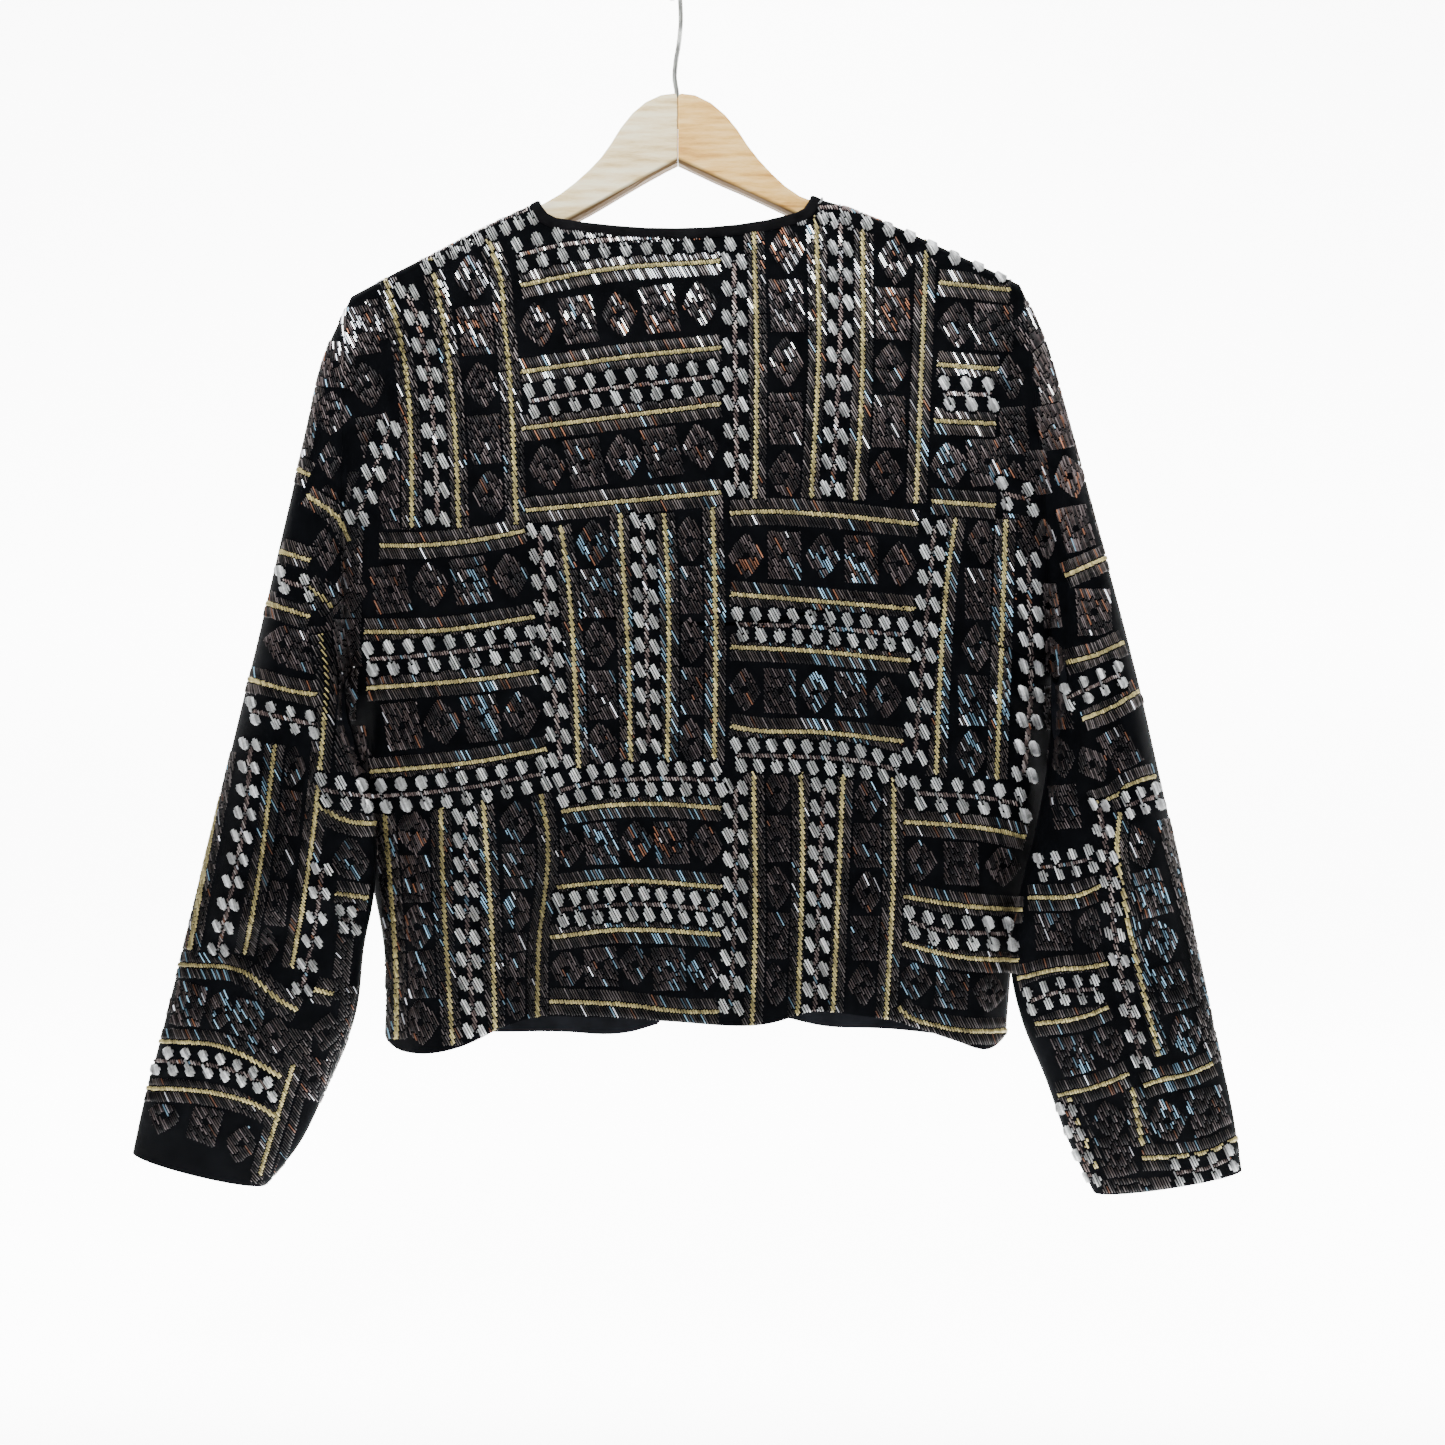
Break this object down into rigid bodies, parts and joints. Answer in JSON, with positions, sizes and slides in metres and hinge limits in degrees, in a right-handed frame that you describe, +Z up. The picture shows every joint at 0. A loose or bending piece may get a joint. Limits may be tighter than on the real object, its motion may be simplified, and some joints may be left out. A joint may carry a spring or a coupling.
{
  "type": "sequin jacket on a wooden hanger",
  "caption": "Short collarless beaded jacket with long sleeves and an open front, hanging on a flat pale wooden hanger with a bent-wire hook.",
  "frame": {"origin": "inside top of the hook's bend, where a rail holds it", "axes": "+Z up, the jacket's back faces -Y, +X to the wearer's right; the hanger lies in the plane Y = 0"},
  "size_m": [0.75, 0.0934, 0.8374],
  "materials": {
    "beaded_cloth": "glass bugle beads, silver, taupe, gold and near black, on dark cloth",
    "black_cloth": "black satin",
    "maple": "pale, clear satin lacquer",
    "chromed_steel": "polished"
  },
  "bodies": {
    "root": {"back": "beaded_cloth", "front_left": "beaded_cloth", "front_right": "beaded_cloth", "sleeve_left": "beaded_cloth", "sleeve_right": "beaded_cloth", "neck_binding": "black_cloth", "front_lining_left": "black_cloth", "front_lining_right": "black_cloth", "hanger_left": "maple", "hanger_right": "maple", "hook": "chromed_steel"}
  },
  "joints": []
}
